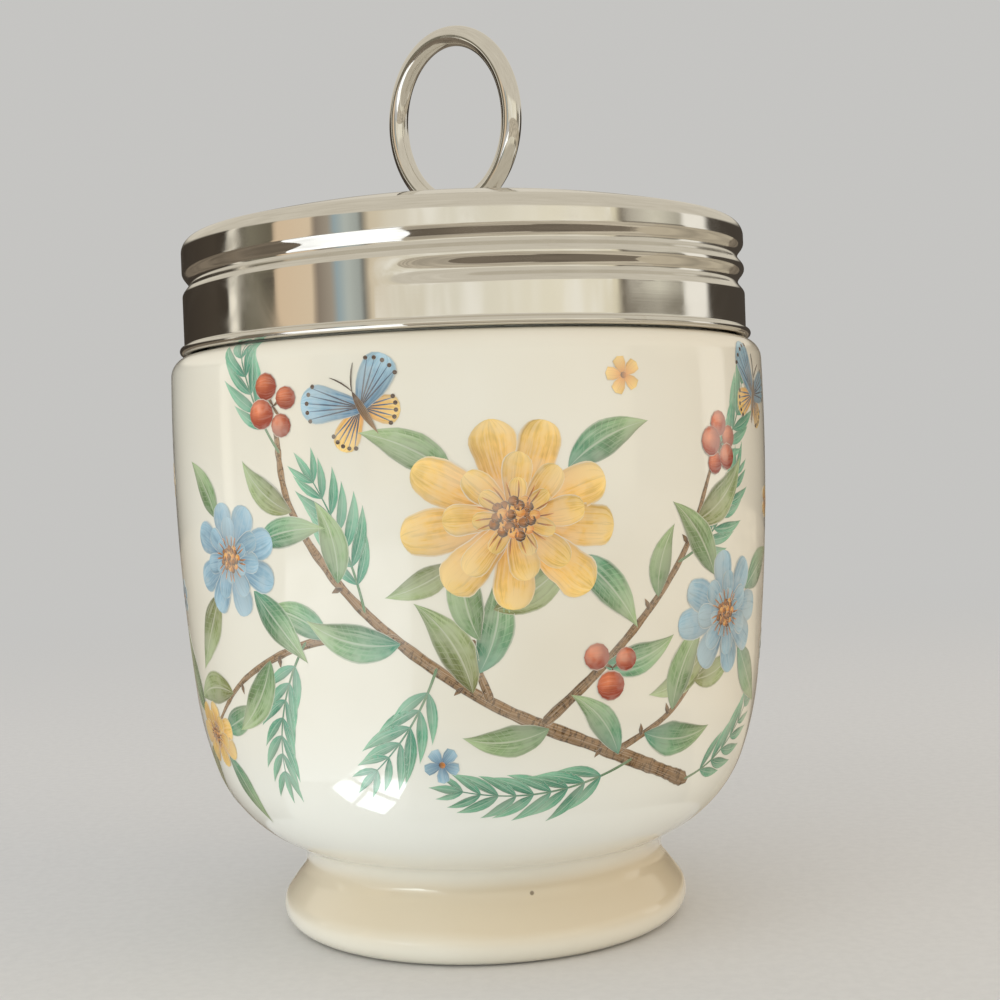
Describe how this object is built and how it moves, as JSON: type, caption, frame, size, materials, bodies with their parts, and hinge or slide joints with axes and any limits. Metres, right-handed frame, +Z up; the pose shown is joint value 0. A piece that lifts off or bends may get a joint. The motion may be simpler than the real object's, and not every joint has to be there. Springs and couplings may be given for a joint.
{
  "type": "egg coddler",
  "caption": "Footed porcelain egg coddler cup with a screw neck, closed by a domed metal screw lid that carries an upright finger ring.",
  "frame": {"origin": "centre of the flat ring that the foot stands on", "axes": "+Z up along the cup's axis, -Y towards the decorated front, +X to the right seen from the front"},
  "size_m": [0.058, 0.058, 0.0875],
  "materials": {
    "porcelain": null,
    "lid_plate": "polished bright plate with fine wiping marks",
    "ring_plate": "polished bright plate on round wire, slightly worn",
    "washer_steel": "plain bright steel inside the lid"
  },
  "bodies": {
    "cup": {"cup": "porcelain"},
    "lid_carrier": {"stud_washer": "washer_steel"},
    "lid": {"lid_shell": "lid_plate", "finger_ring": "ring_plate", "ring_stud": "ring_plate"}
  },
  "joints": [
    {"name": "lid_rise", "type": "slide", "parent": "cup", "child": "lid_carrier", "axis": [0, 0, 1], "range_m": [0, 0.0126]},
    {"name": "lid_turn", "type": "hinge", "parent": "lid_carrier", "child": "lid", "pos_m": [0, 0, 0.06], "axis": [0, 0, 1], "range_deg": [0, 1800]}
  ],
  "couplings": [
    {"joint": "lid_rise", "follows": "lid_turn", "m_per_rad": 0.00039789}
  ]
}
